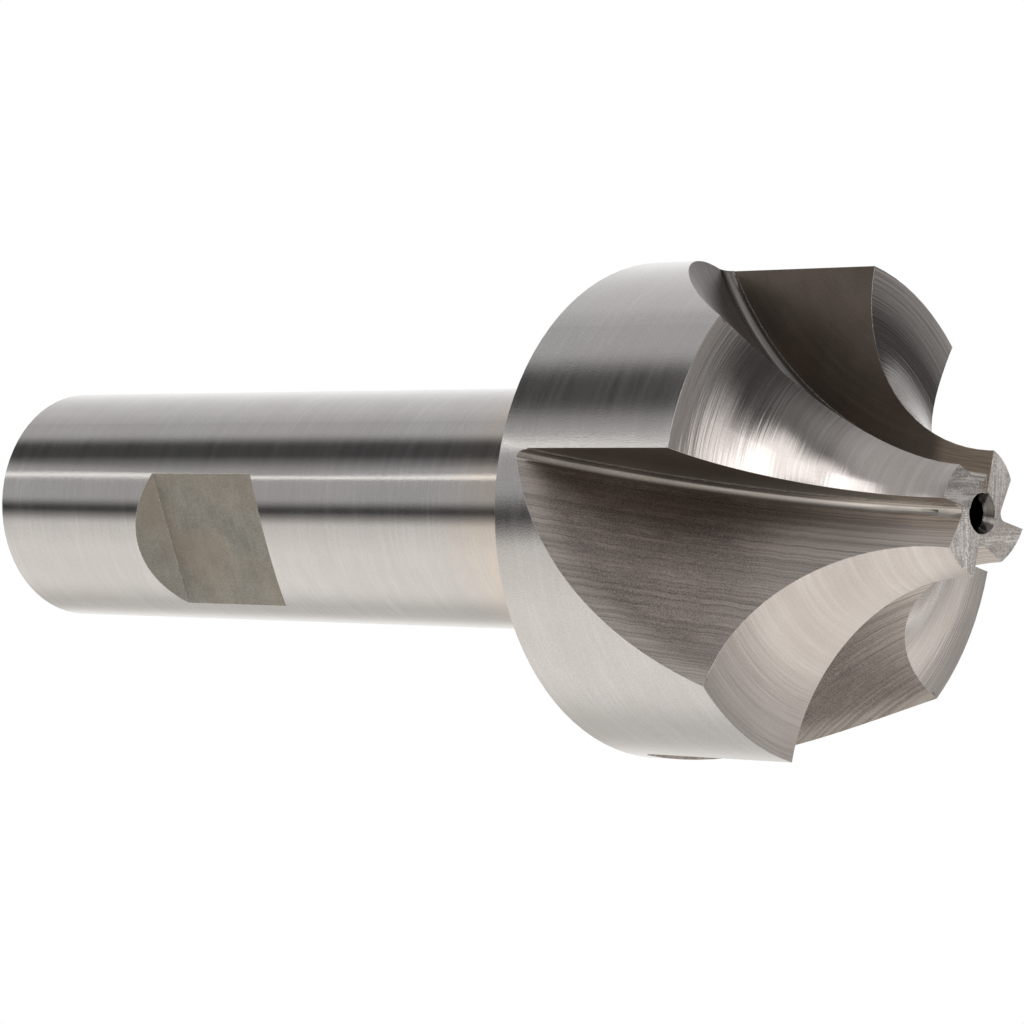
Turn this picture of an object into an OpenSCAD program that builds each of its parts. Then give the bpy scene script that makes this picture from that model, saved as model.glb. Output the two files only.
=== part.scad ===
// Corner rounding end mill: a round shank with a drive flat, and a head with four straight
// teeth whose concave quarter rounds cut a rounded corner on the edge of a workpiece.
// The tool stands on the end of its shank, the nose is up, and the tool turns
// anticlockwise seen from above. Each cutting edge lies in a plane through the axis.

/* [Shank] */
// Diameter of the shank
shank_d = 19.05; // [12:0.05:25.4]
// Length of the shank from its end to the back of the head
shank_l = 68.9; // [55:0.1:120]
// Bevel round the end of the shank
shank_bevel = 1; // [0.2:0.1:2]
// Round where the shank meets the back of the head
neck_round = 0.8; // [0.3:0.1:2]

/* [Drive flat] */
// Depth of the flat below the round of the shank
flat_depth = 1.95; // [0.5:0.05:3]
// Length of the flat's floor along the shank
flat_l = 11.9; // [5:0.1:20]
// Distance of the flat's middle from the end of the shank
flat_mid = 25.8; // [18:0.1:38]
// Slope of the ramp at each end of the flat
flat_ramp = 45; // [30:1:60]
// Turn of the flat ahead of the first cutting edge
flat_turn = 35; // [0:1:90]

/* [Head] */
// Length of the head's full round behind the corner form
band_l = 16.95; // [12:0.05:40]
// Bevel round the back of the head
head_bevel = 0.25; // [0.1:0.05:1]

/* [Corner form] */
// Radius of the rounded corner that the teeth cut
form_r = 14.29; // [8:0.01:18]
// Diameter of the nose across the ends of the cutting edges
tip_d = 9.52; // [8:0.01:20]
// Length by which the nose stops short of the form's centre
nose_short = 0.15; // [0:0.05:1]
// Sideways shift of the form's axis at the nose, which clears the land behind the edge
form_shift = 0.65; // [0.1:0.05:1.2]
// Lean of the form's axis, which drops the shoulder behind the edge
form_lean = 1.3; // [0.5:0.05:4]
// Slope of each tooth's end face behind its edge
end_slope = 6; // [2:0.5:12]

/* [Flutes] */
// Angle between the cutting face and the back wall of a flute
flute_angle = 75; // [65:1:80]
// Diameter of the disc that the flute's bottom follows
flute_disc_d = 79; // [64:1:140]
// Round in the bottom corner of a flute
flute_round = 0.6; // [0.2:0.1:1.2]
// Depth of the step that grinding the cutting face leaves beside that round
face_step = 0.1; // [0.05:0.01:0.2]
// Width of the strip between that step and the round
step_strip = 0.15; // [0.05:0.05:0.5]
// Height of the disc's centre above the nose, where the flute's bottom would be deepest
flute_lead = 3.35; // [0:0.05:8]
// Distance from the axis to a flute's bottom corner at the nose
flute_web = 1.94; // [1.8:0.01:2.6]

/* [Centre holes] */
// Diameter of the nose hole at its mouth
nose_mouth_d = 3.2; // [2.4:0.1:3.4]
// Diameter of the nose hole below its mouth
nose_bore_d = 2.2; // [1:0.1:2.3]
// Depth of the nose hole
nose_hole_l = 7; // [3:0.5:15]
// Diameter of the shank's centre hole at its mouth
rear_mouth_d = 5.3; // [4:0.1:8]
// Diameter of the shank's centre hole below its mouth
rear_bore_d = 2.5; // [1.5:0.1:3.5]
// Depth of the shank's centre hole
rear_hole_l = 7; // [5:0.5:15]
// Angle of the conical mouths
mouth_angle = 60; // [60:15:90]

/* [Hidden] */
$fn = 180;

TEETH = 4;
POINT_ANGLE = 118;
// Bite of a small round into the walls beside it, so that it meets each in one clean line
ROUND_BITE = 0.0005;

shank_r = shank_d / 2;
tip_r = tip_d / 2;
head_r = tip_r + form_r;
shoulder_z = shank_l + band_l;
form_z = shoulder_z + form_r;
nose_z = form_z - nose_short;

// Sector that one tooth's form is cut over, from inside the flute behind it to inside its own
form_from = -64;
form_sweep = 74;

// Centre of the disc that cuts a flute: its rim passes the nose at the web, and runs out on the
// head's round where its own radius takes it
disc_r = flute_disc_d / 2;
disc_z = nose_z + flute_lead;
disc_u = flute_web + sqrt(disc_r * disc_r - flute_lead * flute_lead);
disc_t = head_r * 1.1;
disc_narrow = disc_t / tan(flute_angle);

// Round shank and head before any cutting, as a profile turned about the axis
module blank_profile() {
    polygon([
        [0, 0],
        [shank_r - shank_bevel, 0],
        [shank_r, shank_bevel],
        [shank_r, shank_l],
        [head_r - head_bevel, shank_l],
        [head_r, shank_l + head_bevel],
        [head_r, nose_z],
        [0, nose_z],
    ]);
    translate([shank_r, shank_l - neck_round])
        difference() {
            square(neck_round);
            translate([neck_round, 0]) circle(r = neck_round + ROUND_BITE);
        }
}

module blank() {
    rotate([0, 0, form_from / 2]) rotate_extrude() blank_profile();
}

// Cut for the drive flat: a floor with a ramp at each end, along +X before it is turned
module drive_flat() {
    run = flat_depth / tan(flat_ramp);
    floor_x = shank_r - flat_depth;
    clear_l = flat_l + 4 * run;
    rotate([0, 0, flat_turn])
        translate([floor_x, 0, flat_mid])
            rotate([90, 0, 0])
                linear_extrude(height = shank_d, center = true)
                    polygon([
                        [0, -flat_l / 2],
                        [2 * flat_depth, -clear_l / 2],
                        [2 * flat_depth, clear_l / 2],
                        [0, flat_l / 2],
                    ]);
}

// Hole on the axis with a conical mouth at the origin, going down
module centre_hole(mouth_d, bore_d, length) {
    cone_l = (mouth_d - bore_d) / 2 / tan(mouth_angle / 2);
    point_l = bore_d / 2 / tan(POINT_ANGLE / 2);
    rotate_extrude()
        polygon([
            [0, 1],
            [mouth_d / 2, 1],
            [mouth_d / 2, 0],
            [bore_d / 2, -cone_l],
            [bore_d / 2, -length],
            [0, -length - point_l],
        ]);
}

// Space that one tooth leaves free for the rounded corner of the work. The axis of this
// form is shifted and leaned, so that the land falls away behind the cutting edge at +X.
module corner_form() {
    translate([0, form_shift, form_z])
        rotate([form_lean, 0, 0])
            rotate([0, 0, form_from])
                rotate_extrude(angle = form_sweep)
                    translate([head_r, 0]) circle(r = form_r);
}

// Section of the flute: flat side on the cutting face, sloping side on the back wall, and
// between them the bottom round and the small step that grinding the face leaves
module flute_section() {
    seat = flute_round / tan(flute_angle / 2);
    corner_r = disc_r - face_step / tan(flute_angle);
    round_r = corner_r - seat;
    polygon([
        [0, 0],
        [round_r - step_strip, 0],
        [round_r - step_strip, face_step],
        [round_r, face_step],
        [corner_r - seat * cos(flute_angle), face_step + seat * sin(flute_angle)],
        [disc_r - disc_narrow, disc_t],
        [0, disc_t],
    ]);
    translate([round_r, face_step + flute_round]) circle(r = flute_round + ROUND_BITE, $fn = 60);
}

// Chip flute in front of the cutting face that lies on the XZ plane
module flute() {
    translate([disc_u, 0, disc_z])
        rotate([-90, 0, 0])
            rotate_extrude() flute_section();
}

// Sloping end face of one tooth, over its own quarter of the nose
module end_face() {
    translate([0, 0, nose_z])
        rotate([end_slope, 0, 0])
            translate([0, -head_r, 0]) cube([head_r, head_r, head_r]);
}

module end_mill() {
    color("silver")
        difference() {
            blank();
            drive_flat();
            rotate([180, 0, 0]) centre_hole(rear_mouth_d, rear_bore_d, rear_hole_l);
            for (i = [0 : TEETH - 1])
                rotate([0, 0, i * 360 / TEETH]) {
                    corner_form();
                    flute();
                    end_face();
                }
            translate([0, 0, nose_z]) centre_hole(nose_mouth_d, nose_bore_d, nose_hole_l);
        }
}

end_mill();
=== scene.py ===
import math

import bpy
import numpy as np
from mathutils import Matrix, Vector

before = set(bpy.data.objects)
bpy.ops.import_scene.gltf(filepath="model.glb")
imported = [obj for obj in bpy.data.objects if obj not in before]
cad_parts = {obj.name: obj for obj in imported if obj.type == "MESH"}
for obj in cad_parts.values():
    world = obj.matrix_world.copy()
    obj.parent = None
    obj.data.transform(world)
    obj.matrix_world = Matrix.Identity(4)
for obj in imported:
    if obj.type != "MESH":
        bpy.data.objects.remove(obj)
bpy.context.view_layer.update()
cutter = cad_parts["end_mill"]
mm = 0.001
diagonal = 0.70711     # x and y of a direction one long that points halfway between them

# Sizes of the tool that its finishes follow, in millimetres along the row's axes, and angles in degrees
tool = {
    "shankR": 9.525,          # ground round of the shank
    "headR": 19.05,           # ground round of the head, and the ring radius of the corner form
    "backZ": 68.9,            # back face of the head
    "shoulderZ": 85.85,       # where the corner form meets the head's round
    "noseZ": 99.99,           # ends of the cutting edges
    "formZ": 100.14,          # height of the corner form's centre
    "formR": 14.29,           # radius of the corner form
    "wheelR": 39.5,           # wheel that ground the flutes
    "wheelU": 41.298,         # distance of that wheel's centre from the axis
    "wheelZ": 103.34,         # height of that wheel's centre
    "wallAngle": 75.0,        # angle between a cutting face and the flute's back wall
    "fluteTurn": 17.5,        # turn of the tool that brings each flute inside one quarter
    "endTurn": 150.0,         # from the middle of a tooth's quarter to square across the marks on its end
    "flatX": 7.575,           # distance of the drive flat's floor from the axis
    "flatTurn": 35.0,         # azimuth of the drive flat
    "flatZ": (16.0, 36.0),    # reach of the drive flat with its ramps
    "teeth": 4,
}


def linear(hexValue):
    # sRGB hex to linear: a part up to 0.04045 is divided by 12.92, a larger one goes through the 2.4 power
    parts = [int(hexValue[i:i + 2], 16) / 255 for i in (1, 3, 5)]
    return tuple(c / 12.92 if c <= 0.04045 else ((c + 0.055) / 1.055) ** 2.4 for c in parts) + (1.0,)


def addNode(tree, kind, inputs=(), **settings):
    # Adds a node. The settings are its properties, and inputs, by place or by name, are values or links.
    # A Mix node of colours takes its share at 0 and its two colours at 6 and 7, and gives its output 2.
    node = tree.nodes.new(kind)
    for key, value in settings.items():
        setattr(node, key, value)
    for key, value in (inputs.items() if isinstance(inputs, dict) else enumerate(inputs)):
        if isinstance(value, bpy.types.Node):
            value = value.outputs[0]
        if isinstance(value, bpy.types.NodeSocket):
            tree.links.new(value, node.inputs[key])
        else:
            node.inputs[key].default_value = value
    return node


# Each function of marks takes a place in millimetres, and gives a number that grows across the marks and
# the direction in which they smear the light


def fromAxis(tree, place):
    # Distance from the axis, which is the length of x and y, and the vector of x and y itself
    flat = addNode(tree, "ShaderNodeVectorMath", (place, (1, 1, 0)), operation="MULTIPLY")
    return addNode(tree, "ShaderNodeVectorMath", (flat,), operation="LENGTH").outputs["Value"], flat


def ringsAlongAxis(tree, place):
    # Rings round the axis, counted by their height; the light smears along the axis
    height = addNode(tree, "ShaderNodeSeparateXYZ", (place,)).outputs[2]
    return height, addNode(tree, "ShaderNodeCombineXYZ", (0.0, 0.0, 1.0))


def ringsOnForm(tree, place):
    # Rings round the axis, counted along the form's quarter round: its radius times the angle about the
    # form's centre. The light smears along that arc, square to the way from the centre to the place.
    radius, flat = fromAxis(tree, place)
    away = addNode(tree, "ShaderNodeMath", (radius, tool["headR"]), operation="SUBTRACT")
    height = addNode(tree, "ShaderNodeSeparateXYZ", (place,)).outputs[2]
    drop = addNode(tree, "ShaderNodeMath", (tool["formZ"], height), operation="SUBTRACT")
    angle = addNode(tree, "ShaderNodeMath", (drop, away), operation="ARCTAN2")
    arc = addNode(tree, "ShaderNodeMath", (angle, tool["formR"]), operation="MULTIPLY")
    outward = addNode(tree, "ShaderNodeVectorMath", (flat,), operation="NORMALIZE")
    sideways = addNode(tree, "ShaderNodeVectorMath", {0: outward, "Scale": drop}, operation="SCALE")
    upwards = addNode(tree, "ShaderNodeCombineXYZ", (0.0, 0.0, away))
    return arc, addNode(tree, "ShaderNodeVectorMath", (sideways, upwards), operation="ADD")


def wheelArcs(tree, place):
    # Arcs round the centre of the wheel that ground the flute, counted by their distance from it. Each flute
    # lies in one quarter when the tool is turned by fluteTurn, and the signs of x and y there, turned back
    # by 45 degrees, point at its wheel. The light smears away from the wheel's centre.
    turned = addNode(tree, "ShaderNodeVectorRotate", {
        "Vector": place, "Angle": math.radians(tool["fluteTurn"])}, rotation_type="Z_AXIS")
    quarter = addNode(tree, "ShaderNodeVectorMath", (turned,), operation="SIGN")
    quarter = addNode(tree, "ShaderNodeVectorMath", (quarter, (diagonal, diagonal, 0)), operation="MULTIPLY")
    way = addNode(tree, "ShaderNodeVectorRotate", {
        "Vector": quarter, "Angle": math.radians(-45)}, rotation_type="Z_AXIS")
    along = addNode(tree, "ShaderNodeVectorMath", (place, way), operation="DOT_PRODUCT").outputs["Value"]
    away = addNode(tree, "ShaderNodeMath", (along, tool["wheelU"]), operation="SUBTRACT")
    sideways = addNode(tree, "ShaderNodeVectorMath", {0: way, "Scale": away}, operation="SCALE")
    height = addNode(tree, "ShaderNodeSeparateXYZ", (place,)).outputs[2]
    rise = addNode(tree, "ShaderNodeMath", (height, tool["wheelZ"]), operation="SUBTRACT")
    upwards = addNode(tree, "ShaderNodeCombineXYZ", (0.0, 0.0, rise))
    spoke = addNode(tree, "ShaderNodeVectorMath", (sideways, upwards), operation="ADD")
    return addNode(tree, "ShaderNodeVectorMath", (spoke,), operation="LENGTH").outputs["Value"], spoke


def marksOnEnds(tree, place):
    # Straight marks on each tooth's end, nearly along its edge, counted across. The signs of x and y point
    # to the middle of the tooth's quarter; 135 degrees on from there is square to its edge, and endTurn is
    # 15 more, which slants the marks.
    quarter = addNode(tree, "ShaderNodeVectorMath", (place,), operation="SIGN")
    quarter = addNode(tree, "ShaderNodeVectorMath", (quarter, (diagonal, diagonal, 0)), operation="MULTIPLY")
    across = addNode(tree, "ShaderNodeVectorRotate", {
        "Vector": quarter, "Angle": math.radians(tool["endTurn"])}, rotation_type="Z_AXIS")
    return addNode(tree, "ShaderNodeVectorMath", (place, across), operation="DOT_PRODUCT").outputs["Value"], across


# Each finish has its colours in sRGB and its sizes in millimetres. Marks are single scratches of the grit,
# bands are groups of them, and a tone is the share that each adds between the dark and the light colour. The
# real marks are a few hundredths of a millimetre wide. On the back wall they are drawn so, and elsewhere
# coarser, as they would be too fine to show in the render. A fade runs up the tool or outwards, from where
# to where in millimetres, to a colour, with a share.
# Some fades, and the lighter edges, are painted light or shade, as noted at each.
finishes = {
    "shank": {       # cylindrical ground: bright, fine rings round the axis smear the light along it
        "name": "high-speed steel, cylindrical ground shank", "marks": ringsAlongAxis,
        "light": "#d9d6d5", "dark": "#c4c1c0", "stain": "#cbc6c2",
        "markWidth": 0.14, "markLength": 3.0, "markTone": 0.15, "markDepth": 0.0006,
        "bandWidth": 0.8, "bandLength": 9.0, "bandTone": 0.15, "cloudSize": 5.0, "cloudTone": 0.15,
        "grainSize": 0.11, "grainTone": 0.25, "grainDepth": 0.0024,
        "rough": 0.13, "roughVary": 0.02, "brushed": 0.72, "edgeWidth": 0.07,
        "fades": [("up", 52.5, 59.5, "#dcc8b2", 0.45)],        # painted shade: darker and warmer towards the head, standing for its back face mirrored in the shank
    },
    "land": {        # relief ground: coarser rings, which break the reflections into streaks
        "name": "high-speed steel, relief ground", "marks": ringsOnForm,
        "light": "#dad3cf", "dark": "#c2b9b5", "stain": "#d5cdc7",
        "markWidth": 0.24, "markLength": 9.0, "markTone": 0.2, "markDepth": 0.03,
        "bandWidth": 0.9, "bandLength": 27.0, "bandTone": 0.22, "cloudSize": 5.0, "cloudTone": 0.15,
        "grainSize": 0.14, "grainTone": 0.15, "grainDepth": 0.001,
        "rough": 0.15, "roughVary": 0.03, "brushed": 0.6, "edgeWidth": 0.07,
        "depthUp": (86.5, 95.0, 1.0, 0.2),      # between these heights the marks drop to a fifth of their depth
        "fades": [],
    },
    "wall": {        # ground by the side of a coarse wheel: dull grey-brown, darkened further as painted shade in the flute, with long arcs of its grit
        "name": "high-speed steel, wheel ground flute", "marks": wheelArcs,
        "light": "#8f8681", "dark": "#5d5652", "stain": "#665e5a",
        "markWidth": 0.045, "markLength": 50.0, "markTone": 0.3, "markDepth": 0.004,
        "bandWidth": 0.12, "bandLength": 1.5, "bandTone": 0.14, "cloudSize": 6.0, "cloudTone": 0.12,
        "grainSize": 0.1, "grainTone": 0.5, "grainDepth": 0.003,
        "rough": 0.38, "roughVary": 0.015, "brushed": 0.6, "edgeWidth": 0.07,
        "fades": [
            ("up", 82.0, 97.0, "#e3dad4", 0.9),                # painted light: lighter towards the nose, for the reflections that brighten the wall there
            ("out", 16.8, 18.8, "#c9c1bb", 0.38),              # and a little painted light towards the flute's outer rim
        ],
    },
    "face": {        # finely ground under a film of dried oil: near black, with faint brown clouds
        "name": "high-speed steel, face ground and oiled", "marks": wheelArcs,
        "light": "#7d736a", "dark": "#645c54", "stain": "#755f54",
        "markWidth": 0.14, "markLength": 6.0, "markTone": 0.12, "markDepth": 0.0012,
        "bandWidth": 0.5, "bandLength": 18.0, "bandTone": 0.12, "cloudSize": 5.0, "cloudTone": 0.3,
        "grainSize": 0.16, "grainTone": 0.2, "grainDepth": 0.001,
        "rough": 0.38, "roughVary": 0.04, "brushed": 0.3, "edgeWidth": 0.07,
        "fades": [("up", 94.0, 95.6, "#cdbba8", 0.42)],        # lighter and browner towards the nose
    },
    "flat": {        # milled and left as it is: dull, faintly green, with small darker spots
        "name": "high-speed steel, milled flat", "marks": ringsAlongAxis,
        "light": "#a29f98", "dark": "#85837c", "stain": "#a19284",
        "markWidth": 0.2, "markLength": 2.0, "markTone": 0.15, "markDepth": 0.001,
        "bandWidth": 1.0, "bandLength": 6.0, "bandTone": 0.1, "cloudSize": 2.5, "cloudTone": 0.35,
        "grainSize": 0.16, "grainTone": 0.4, "grainDepth": 0.005,
        "rough": 0.52, "roughVary": 0.05, "brushed": 0.0, "edgeWidth": 0.09,
        "fades": [("up", 20.2, 19.4, "#77736c", 0.35)],        # darker over the lower ramp, so this one runs down
    },
    "end": {         # ground across by a coarse wheel: frosty, with short straight marks
        "name": "high-speed steel, ground ends", "marks": marksOnEnds,
        "light": "#f6f1ef", "dark": "#b3aba8", "stain": "#c6bdba",
        "markWidth": 0.16, "markLength": 2.5, "markTone": 0.4, "markDepth": 0.010,
        "bandWidth": 0.5, "bandLength": 7.5, "bandTone": 0.25, "cloudSize": 1.5, "cloudTone": 0.3,
        "grainSize": 0.14, "grainTone": 0.5, "grainDepth": 0.005,
        "rough": 0.48, "roughVary": 0.06, "brushed": 0.3, "edgeWidth": 0.07,
        "fades": [],
    },
    "hole": {        # drilled: smooth, with a darker colour inside that is painted shade, and a wide painted highlight round its mouth
        "name": "high-speed steel, drilled", "marks": ringsAlongAxis,
        "light": "#8c8782", "dark": "#5c5956", "stain": "#5c5956",
        "markWidth": 0.2, "markLength": 3.0, "markTone": 0.4, "markDepth": 0.003,
        "bandWidth": 0.6, "bandLength": 9.0, "bandTone": 0.2, "cloudSize": 1.5, "cloudTone": 0.2,
        "grainSize": 0.12, "grainTone": 0.2, "grainDepth": 0.001,
        "rough": 0.12, "roughVary": 0.03, "brushed": 0.0, "edgeWidth": 0.12,
        "fades": [],
    },
    "turned": {      # turned on a lathe: grey, with feed rings
        "name": "high-speed steel, turned", "marks": fromAxis,
        "light": "#b5b1ac", "dark": "#8e8a86", "stain": "#8e8a86",
        "markWidth": 0.25, "markLength": 20.0, "markTone": 0.4, "markDepth": 0.004,
        "bandWidth": 1.0, "bandLength": 60.0, "bandTone": 0.3, "cloudSize": 4.0, "cloudTone": 0.15,
        "grainSize": 0.15, "grainTone": 0.1, "grainDepth": 0.001,
        "rough": 0.34, "roughVary": 0.05, "brushed": 0.6, "edgeWidth": 0.08,
        "fades": [],
    },
    "root": {        # ground by the wheel's rounded corner: smoother than the wall, so it holds a line of light
        "name": "high-speed steel, ground flute root", "marks": wheelArcs,
        "light": "#a39d99", "dark": "#6e6863", "stain": "#6e6863",
        "markWidth": 0.15, "markLength": 12.0, "markTone": 0.35, "markDepth": 0.001,
        "bandWidth": 0.3, "bandLength": 36.0, "bandTone": 0.35, "cloudSize": 6.0, "cloudTone": 0.15,
        "grainSize": 0.15, "grainTone": 0.15, "grainDepth": 0.001,
        "rough": 0.22, "roughVary": 0.04, "brushed": 0.5, "edgeWidth": 0.05,
        "fades": [("up", 84.0, 96.0, "#ece6e0", 0.85)],        # painted highlight: lighter towards the nose, as the wall is
    },
    "head": {        # cylindrical ground as the shank is, with a little more grain on the wider round
        "name": "high-speed steel, cylindrical ground head", "marks": ringsAlongAxis,
        "light": "#d9d6d5", "dark": "#c4c1c0", "stain": "#cbc6c2",
        "markWidth": 0.14, "markLength": 3.0, "markTone": 0.15, "markDepth": 0.0012,
        "bandWidth": 0.8, "bandLength": 9.0, "bandTone": 0.15, "cloudSize": 5.0, "cloudTone": 0.15,
        "grainSize": 0.12, "grainTone": 0.4, "grainDepth": 0.0046,
        "rough": 0.14, "roughVary": 0.02, "brushed": 0.72, "edgeWidth": 0.07,
        "fades": [],
    },
}

# How every finish reads its noises: two values of a noise, and the shares that they give
readings = {
    "noise": (0.3, 0.7),                    # nearly all of a noise lies between these
    "thinned": (0.38, 0.62, 0.2, 1.8),      # bands, to the strength of the marks in them
    "patches": (0.45, 0.75, 0.0, 0.6),      # the widest clouds, to the share of the stain
    "reached": (0.40, 0.57, 0.5, 1.0),      # marks, to how far a fade reaches into them
    "wearAndSheenReach": (0.38, 0.58, 0.15, 1.0),        # grain, to how far an edge's wear and painted highlight reach there
    "edgeWearAndSheen": (0.99, 0.90),                 # cosine of the turn of a rounded normal, to an edge fully lightened by wear and painted highlight
    # colour of the edges' wear and painted highlight
    "edgeWearAndSheenColour": "#e6e2dd",
    "patchSize": 1 / 0.35,                  # times the size of the clouds
    "noiseRoughness": 0.6,
    "markDetail": 2.0, "cloudDetail": 3.0, "grainDetail": 2.0,
}


def steel(look):
    # Ground high-speed steel. A noise that is slow along the marks and fast across them gives their tone,
    # their grooves and the spread of the roughness; clouds and grain come from plain noise.
    material = bpy.data.materials.new(look["name"])
    material.use_nodes = True
    tree = material.node_tree
    tree.nodes.clear()
    here = addNode(tree, "ShaderNodeTexCoord").outputs["Object"]
    place = addNode(tree, "ShaderNodeVectorMath", {0: here, "Scale": 1 / mm}, operation="SCALE")
    height = addNode(tree, "ShaderNodeSeparateXYZ", (place,)).outputs[2]
    radius = fromAxis(tree, place)[0]
    across, smear = look["marks"](tree, place)

    noises = {}
    for kind in ("mark", "band"):
        slow = addNode(tree, "ShaderNodeVectorMath", {
            0: place, "Scale": 1 / look[kind + "Length"]}, operation="SCALE")
        fast = addNode(tree, "ShaderNodeMath", (across, 1 / look[kind + "Width"]), operation="MULTIPLY")
        noises[kind] = addNode(tree, "ShaderNodeTexNoise", {
            "Vector": slow, "W": fast, "Scale": 1.0, "Detail": readings["markDetail"],
            "Roughness": readings["noiseRoughness"]}, noise_dimensions="4D")
    for kind in ("cloud", "grain"):
        noises[kind] = addNode(tree, "ShaderNodeTexNoise", {
            "Vector": place, "Scale": 1 / look[kind + "Size"], "Detail": readings[kind + "Detail"],
            "Roughness": readings["noiseRoughness"]})

    # The bands thin the marks out here and there, so that long ones come as short scratches
    strength = addNode(tree, "ShaderNodeMapRange", (noises["band"], *readings["thinned"]))
    tone = 0.5
    for kind, noise in noises.items():
        share = look[kind + "Tone"]
        part = addNode(tree, "ShaderNodeMapRange", (noise, *readings["noise"], -share, share))
        if kind == "mark":
            part = addNode(tree, "ShaderNodeMath", (part, strength), operation="MULTIPLY")
        tone = addNode(tree, "ShaderNodeMath", (part, tone), operation="ADD", use_clamp=kind == "grain")
    colour = addNode(tree, "ShaderNodeMix", {
        0: tone, 6: linear(look["dark"]), 7: linear(look["light"])}, data_type="RGBA").outputs[2]
    patches = addNode(tree, "ShaderNodeTexNoise", {
        "Vector": place, "Scale": 1 / (look["cloudSize"] * readings["patchSize"]), "Detail": 2.0})
    patches = addNode(tree, "ShaderNodeMapRange", (patches, *readings["patches"]))
    colour = addNode(tree, "ShaderNodeMix", {
        0: patches, 6: colour, 7: linear(look["stain"])}, data_type="RGBA").outputs[2]

    # The colour fades into others, some of them painted light or shade, and the deeper marks keep more of theirs
    reached = addNode(tree, "ShaderNodeMapRange", (noises["mark"], *readings["reached"]))
    for way, start, end, hexValue, share in look["fades"]:
        faded = addNode(tree, "ShaderNodeMapRange", (
            height if way == "up" else radius, start, end, 0.0, share), interpolation_type="SMOOTHSTEP")
        faded = addNode(tree, "ShaderNodeMath", (faded, reached), operation="MULTIPLY")
        colour = addNode(tree, "ShaderNodeMix", {
            0: faded, 6: colour, 7: linear(hexValue)}, data_type="RGBA").outputs[2]

    # Along an edge the rounded normal leaves the face's own one, and the colour there is lightened in patches: wear
    # and a painted highlight
    rounded = addNode(tree, "ShaderNodeBevel", {"Radius": look["edgeWidth"] * mm}, samples=2)
    own = addNode(tree, "ShaderNodeNewGeometry").outputs["Normal"]
    same = addNode(tree, "ShaderNodeVectorMath", (rounded, own), operation="DOT_PRODUCT").outputs["Value"]
    wearAndSheenReach = addNode(tree, "ShaderNodeMapRange", (noises["grain"], *readings["wearAndSheenReach"]))
    edgeWearAndSheen = addNode(tree, "ShaderNodeMapRange", (same, *readings["edgeWearAndSheen"], 0.0, wearAndSheenReach))
    colour = addNode(tree, "ShaderNodeMix", {
        0: edgeWearAndSheen, 6: colour, 7: linear(readings["edgeWearAndSheenColour"])}, data_type="RGBA").outputs[2]

    rough = addNode(tree, "ShaderNodeMapRange", (
        noises["band"], *readings["noise"], look["rough"] - look["roughVary"], look["rough"] + look["roughVary"]))
    depth = 1.0
    if "depthUp" in look:
        depth = addNode(tree, "ShaderNodeMapRange", (height, *look["depthUp"]))
    grooves = addNode(tree, "ShaderNodeBump", {
        "Strength": depth, "Distance": look["markDepth"] * mm, "Height": noises["mark"], "Normal": rounded})
    pits = addNode(tree, "ShaderNodeBump", {
        "Strength": 1.0, "Distance": look["grainDepth"] * mm, "Height": noises["grain"], "Normal": grooves})
    shader = addNode(tree, "ShaderNodeBsdfPrincipled", {
        "Base Color": colour, "Metallic": 1.0, "Roughness": rough, "Normal": pits,
        "Anisotropic": look["brushed"], "Tangent": smear})
    addNode(tree, "ShaderNodeOutputMaterial", (shader,))
    return material


materials = [steel(look) for look in finishes.values()]
print("materials made:", len(materials))

# How the surfaces are told apart: how far a triangle's middle may lie from a surface's exact place, in
# millimetres, and how large a part of its normal has to point its way
surfaces = {
    "offRound": 0.12,           # from a ground round
    "offFace": 0.05,            # from the plane of a cutting face
    "offWall": 0.35,            # from the cone of a back wall
    "wallStart": 0.12,          # least distance of that wall ahead of the cutting face
    "rootEnd": 0.95,            # greatest distance of the flute's round bottom ahead of the cutting face
    "rootInside": 0.45,         # middle of that bottom, inside the wheel's rim
    "rootHalf": 0.55,           # half its width
    "endDrop": 2.2,             # from the nose down to the lowest part of the teeth's ends
    "shoulderRise": 1.2,        # from the shoulder up to the highest part of the head's round
    "neckDrop": 0.85,           # from the head's back down to the end of the shank's round
    "backDrop": 0.3,            # from the head's back down to the middle of what was turned there
    "backHalf": 0.56,           # half the height of that
    "bevelTop": 1.01,           # top of the bevel round the shank's end
    "offEnd": 0.01,             # from the shank's end face
    "offFlat": 0.02,            # from the drive flat's floor
    "rearHole": (2.7, 10.0),    # radius and height that hold the centre hole in the shank's end
    "noseHole": (1.62, 90.0),   # radius and lowest height that hold the hole in the nose
    "square": 0.9,              # normal that points along the axis, or straight away from it
    "squareFace": 0.98,         # normal of a cutting face
    "squareFlat": 0.999,        # normal of the drive flat's floor
    "ramp": 0.4,                # part of a ramp's normal along the axis
    "bevel": 0.3,               # part of the bevel's normal away from the axis
}


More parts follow.
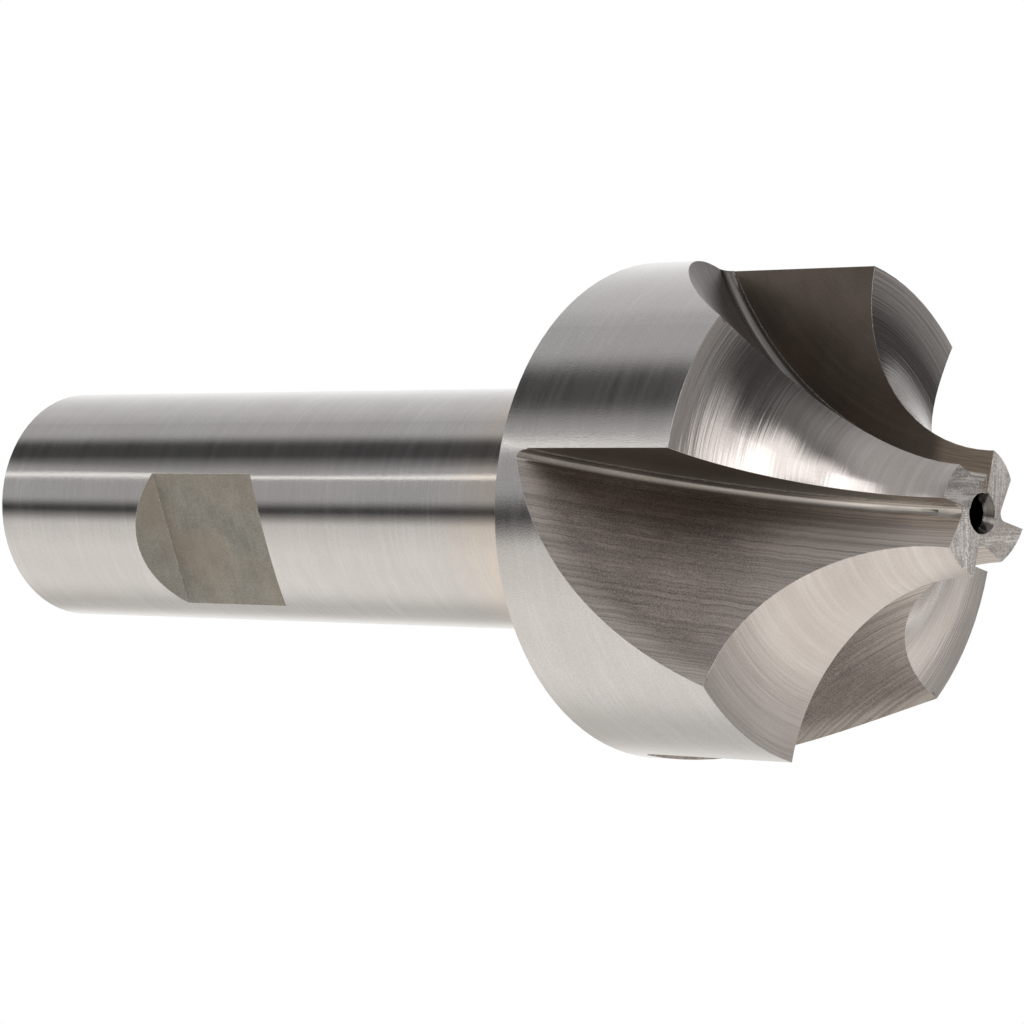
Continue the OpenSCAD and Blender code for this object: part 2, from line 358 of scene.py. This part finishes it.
def finishOfFaces(mesh):
    # The number of the finish of each triangle, from its middle and its normal: a round by its radius and
    # height, a flute by the distance from its cutting face and from its wheel's centre, the form elsewhere
    number = {name: i for i, name in enumerate(finishes)}
    count = len(mesh.polygons)
    middle = np.empty(count * 3)
    normal = np.empty(count * 3)
    mesh.polygons.foreach_get("center", middle)
    mesh.polygons.foreach_get("normal", normal)
    x, y, z = (middle.reshape(-1, 3) / mm).T
    nx, ny, nz = normal.reshape(-1, 3).T
    radius = np.hypot(x, y)
    outward = (nx * x + ny * y) / np.maximum(radius, 1e-6)
    square = surfaces["square"]
    onEnd = (z > tool["noseZ"] - surfaces["endDrop"]) & (nz > square)
    finish = np.where(onEnd, number["end"], number["land"])

    for tooth in range(tool["teeth"]):
        turn = 2 * math.pi * tooth / tool["teeth"]
        c, s = math.cos(turn), math.sin(turn)
        along, ahead = x * c + y * s, y * c - x * s       # out along the cutting face, and into the flute
        facing = ny * c - nx * s
        inFlute = (z > tool["backZ"]) & (along > 0)
        insideWheel = tool["wheelR"] - np.hypot(along - tool["wheelU"], z - tool["wheelZ"])
        fromWall = ahead - insideWheel * math.tan(math.radians(tool["wallAngle"]))
        onWall = (ahead > surfaces["wallStart"]) & (abs(fromWall) < surfaces["offWall"]) & (facing < 0)
        onRoot = (ahead > -surfaces["offFace"]) & (ahead < surfaces["rootEnd"])
        onRoot &= abs(insideWheel - surfaces["rootInside"]) < surfaces["rootHalf"]
        onFace = (abs(ahead) < surfaces["offFace"]) & (facing > surfaces["squareFace"])
        finish[inFlute & onWall] = number["wall"]
        finish[inFlute & onRoot] = number["root"]
        finish[inFlute & onFace] = number["face"]

    headRound = (abs(radius - tool["headR"]) < surfaces["offRound"]) & (outward > square)
    headRound &= z < tool["shoulderZ"] + surfaces["shoulderRise"]
    shankRound = (abs(radius - tool["shankR"]) < surfaces["offRound"]) & (outward > square)
    shankRound &= z < tool["backZ"] - surfaces["neckDrop"]
    backAndNeck = abs(z - tool["backZ"] + surfaces["backDrop"]) < surfaces["backHalf"]
    backAndNeck &= ~headRound & ~shankRound
    bevel = (z < surfaces["bevelTop"]) & (outward > surfaces["bevel"])
    shankEnd = (z < surfaces["offEnd"]) & (nz < -square)
    finish[headRound] = number["head"]
    finish[shankRound | bevel] = number["shank"]
    finish[backAndNeck | shankEnd] = number["turned"]

    rearR, rearTop = surfaces["rearHole"]
    noseR, noseFrom = surfaces["noseHole"]
    rearHole = (radius < rearR) & (z < rearTop)
    noseHole = (radius < noseR) & (z > noseFrom) & (nz < square)
    finish[rearHole | noseHole] = number["hole"]

    c, s = math.cos(math.radians(tool["flatTurn"])), math.sin(math.radians(tool["flatTurn"]))
    low, high = tool["flatZ"]
    milled = (nx * c + ny * s > surfaces["squareFlat"]) | (abs(nz) > surfaces["ramp"])
    milled &= (z > low) & (z < high) & (x * c + y * s > tool["flatX"] - surfaces["offFlat"])
    finish[milled] = number["flat"]
    return finish


mesh = cutter.data
mesh.materials.clear()
for material in materials:
    mesh.materials.append(material)
finish = finishOfFaces(mesh)
mesh.polygons.foreach_set("material_index", finish.astype(np.int32))
mesh.update()
print("faces of each finish:", dict(zip(finishes, np.bincount(finish, minlength=len(materials)).tolist())))

floorLook = {"size": 4.0, "colour": "#ffffff", "glow": 1.0}    # metres; the glow is that of a lit sheet


def makeFloor():
    # A square sheet at the height that the tool stands on
    half = floorLook["size"] / 2
    data = bpy.data.meshes.new("floor")
    data.from_pydata([(-half, -half, 0), (half, -half, 0), (half, half, 0), (-half, half, 0)], [], [(0, 1, 2, 3)])
    obj = bpy.data.objects.new("floor", data)
    bpy.context.scene.collection.objects.link(obj)
    material = bpy.data.materials.new("opal acrylic, lit from below")     # an even white with no shadow on it
    material.use_nodes = True
    tree = material.node_tree
    tree.nodes.clear()
    shader = addNode(tree, "ShaderNodeEmission", (linear(floorLook["colour"]), floorLook["glow"]))
    addNode(tree, "ShaderNodeOutputMaterial", (shader,))
    data.materials.append(material)
    obj.visible_glossy = False     # the metal mirrors the studio round it, and not the sheet
    obj.visible_shadow = False


makeFloor()
print("floor laid")

# The studio as the metal sees it. Angles are in degrees, and each edge is the width over which a box fades.
studio = {
    "room": 0.06,        # light of the walls where no box stands
    "warm": "#fffcf6",
    "cool": "#ffffff",
    "seam": -160,        # azimuth that the ring is counted from, clear of the boxes' middles
    "ring": [     # boxes and flags that stand round the tool, seen below ringTop: from, to, edges, strength, colour
        (20, 200, 1, 1, 0.10, "warm"),
        (27, 200, 15, 1, 0.50, "warm"),
        (27, 114, 15, 40, 0.12, "warm"),
        (45, 120, 44, 34, 0.20, "warm"),
        (160, 200, 34, 1, 0.34, "cool"),
        (-161, -57, 1, 15, 0.46, "cool"),
        (-161, -88, 1, 10, 0.15, "cool"),
        (-161, -125, 1, 70, 0.42, "cool"),
        (-30, 11, 16, 12, 0.42, "cool"),
        (-19.4, -15.4, 2.0, 3.0, 0.95, "warm"),
    ],
    "ringTop": (-36, 9),     # elevation and edge
    "round": [    # soft round boxes higher up: azimuth, elevation, half width, edge, strength, colour
        (90, 15, 86, 34, 0.45, "warm"),
        (90, 15, 60, 40, 0.45, "warm"),
        (-178, 12, 14, 12, 0.50, "warm"),
        (-24, 16, 15, 12, 1.30, "cool"),
        (-37, 32, 13, 12, 1.20, "cool"),
        (-51, 56, 15, 12, 1.35, "cool"),
        (-68, 74, 13, 12, 1.30, "cool"),
        (-148, 72, 14, 10, 0.95, "cool"),
        (-172, 31, 18, 16, 0.16, "cool"),
        (-147, -6, 5, 8, 0.25, "cool"),
        (-22, -24, 9, 8, 0.35, "cool"),
        (-179, -18, 13, 12, 0.65, "cool"),
        (-84, 40, 14, 16, 0.12, "cool"),
        (46, -20, 11, 12, 0.35, "warm"),
        (-62, -25, 50, 40, 0.43, "cool"),
        (-158, -42, 22, 44, 1.30, "cool"),
        (-166, 52, 12, 14, 0.06, "cool"),
    ],
}


def makeStudio():
    # Sums the boxes by the direction that a ray leaves in: its azimuth and elevation choose the ring's boxes,
    # and its angle to a round box's middle fades that one
    world = bpy.data.worlds.new("studio")
    bpy.context.scene.world = world
    world.use_nodes = True
    tree = world.node_tree
    tree.nodes.clear()
    way = addNode(tree, "ShaderNodeTexCoord").outputs["Generated"]
    parts = addNode(tree, "ShaderNodeSeparateXYZ", (way,))
    degrees = 180 / math.pi
    azimuth = addNode(tree, "ShaderNodeMath", (parts.outputs[1], parts.outputs[0]), operation="ARCTAN2")
    azimuth = addNode(tree, "ShaderNodeMath", (azimuth, degrees, -studio["seam"]), operation="MULTIPLY_ADD")
    azimuth = addNode(tree, "ShaderNodeMath", (azimuth, 360), operation="FLOORED_MODULO")
    elevation = addNode(tree, "ShaderNodeMath", (parts.outputs[2],), operation="ARCSINE")
    elevation = addNode(tree, "ShaderNodeMath", (elevation, degrees), operation="MULTIPLY")
    top, edge = studio["ringTop"]
    below = addNode(tree, "ShaderNodeMapRange", (
        elevation, top - edge / 2, top + edge / 2, 1.0, 0.0), interpolation_type="SMOOTHSTEP")
    above = addNode(tree, "ShaderNodeMath", (1.0, below), operation="SUBTRACT")

    boxes = []
    for first, last, firstEdge, lastEdge, strength, colour in studio["ring"]:
        first, last = first - studio["seam"], last - studio["seam"]
        start = addNode(tree, "ShaderNodeMapRange", (
            azimuth, first - firstEdge / 2, first + firstEdge / 2, 0.0, strength), interpolation_type="SMOOTHSTEP")
        stop = addNode(tree, "ShaderNodeMapRange", (
            azimuth, last - lastEdge / 2, last + lastEdge / 2, 1.0, 0.0), interpolation_type="SMOOTHSTEP")
        box = addNode(tree, "ShaderNodeMath", (start, stop), operation="MULTIPLY")
        boxes.append((addNode(tree, "ShaderNodeMath", (box, below), operation="MULTIPLY"), colour))
    for turn, rise, half, edge, strength, colour in studio["round"]:
        a, e = math.radians(turn), math.radians(rise)
        middle = (math.cos(e) * math.cos(a), math.cos(e) * math.sin(a), math.sin(e))
        near = addNode(tree, "ShaderNodeVectorMath", (way, middle), operation="DOT_PRODUCT").outputs["Value"]
        angle = addNode(tree, "ShaderNodeMath", (near,), operation="ARCCOSINE")
        low, high = math.radians(half - edge / 2), math.radians(half + edge / 2)
        box = addNode(tree, "ShaderNodeMapRange", (
            angle, low, high, strength, 0.0), interpolation_type="SMOOTHSTEP")
        boxes.append((addNode(tree, "ShaderNodeMath", (box, above), operation="MULTIPLY"), colour))

    light = addNode(tree, "ShaderNodeCombineXYZ", (studio["room"],) * 3)
    for box, colour in boxes:
        tint = addNode(tree, "ShaderNodeVectorMath", {
            0: linear(studio[colour])[:3], "Scale": box}, operation="SCALE")
        light = addNode(tree, "ShaderNodeVectorMath", (light, tint), operation="ADD")
    background = addNode(tree, "ShaderNodeBackground", (light, 1.0))
    addNode(tree, "ShaderNodeOutputWorld", (background,))


makeStudio()
print("studio lit")

# The photograph's camera looks down at the standing tool and is rolled, so that the nose points right
camera = {
    "placeMm": (258.386, 62.596, 309.421),
    "right": (-0.67288, -0.17365, 0.71909),
    "up": (0.24192, -0.97027, -0.00794),
    "lens": 163.65,          # millimetres, as the sensor's width is
    "sensor": 36.0,
    "clip": (0.01, 20),      # metres
}


def makeCamera():
    # The camera's axes are its right, its up made square to that, and their cross product, which points back
    data = bpy.data.cameras.new("camera")
    data.sensor_fit = "HORIZONTAL"
    data.sensor_width = camera["sensor"]
    data.lens = camera["lens"]
    data.clip_start, data.clip_end = camera["clip"]
    obj = bpy.data.objects.new("camera", data)
    bpy.context.scene.collection.objects.link(obj)
    right = Vector(camera["right"]).normalized()
    up = Vector(camera["up"])
    up = (up - up.dot(right) * right).normalized()
    matrix = Matrix((right, up, right.cross(up))).transposed().to_4x4()
    matrix.translation = Vector(camera["placeMm"]) * mm
    obj.matrix_world = matrix
    bpy.context.scene.camera = obj


makeCamera()
bpy.context.scene.view_settings.view_transform = "Standard"
bpy.context.scene.view_settings.look = "None"
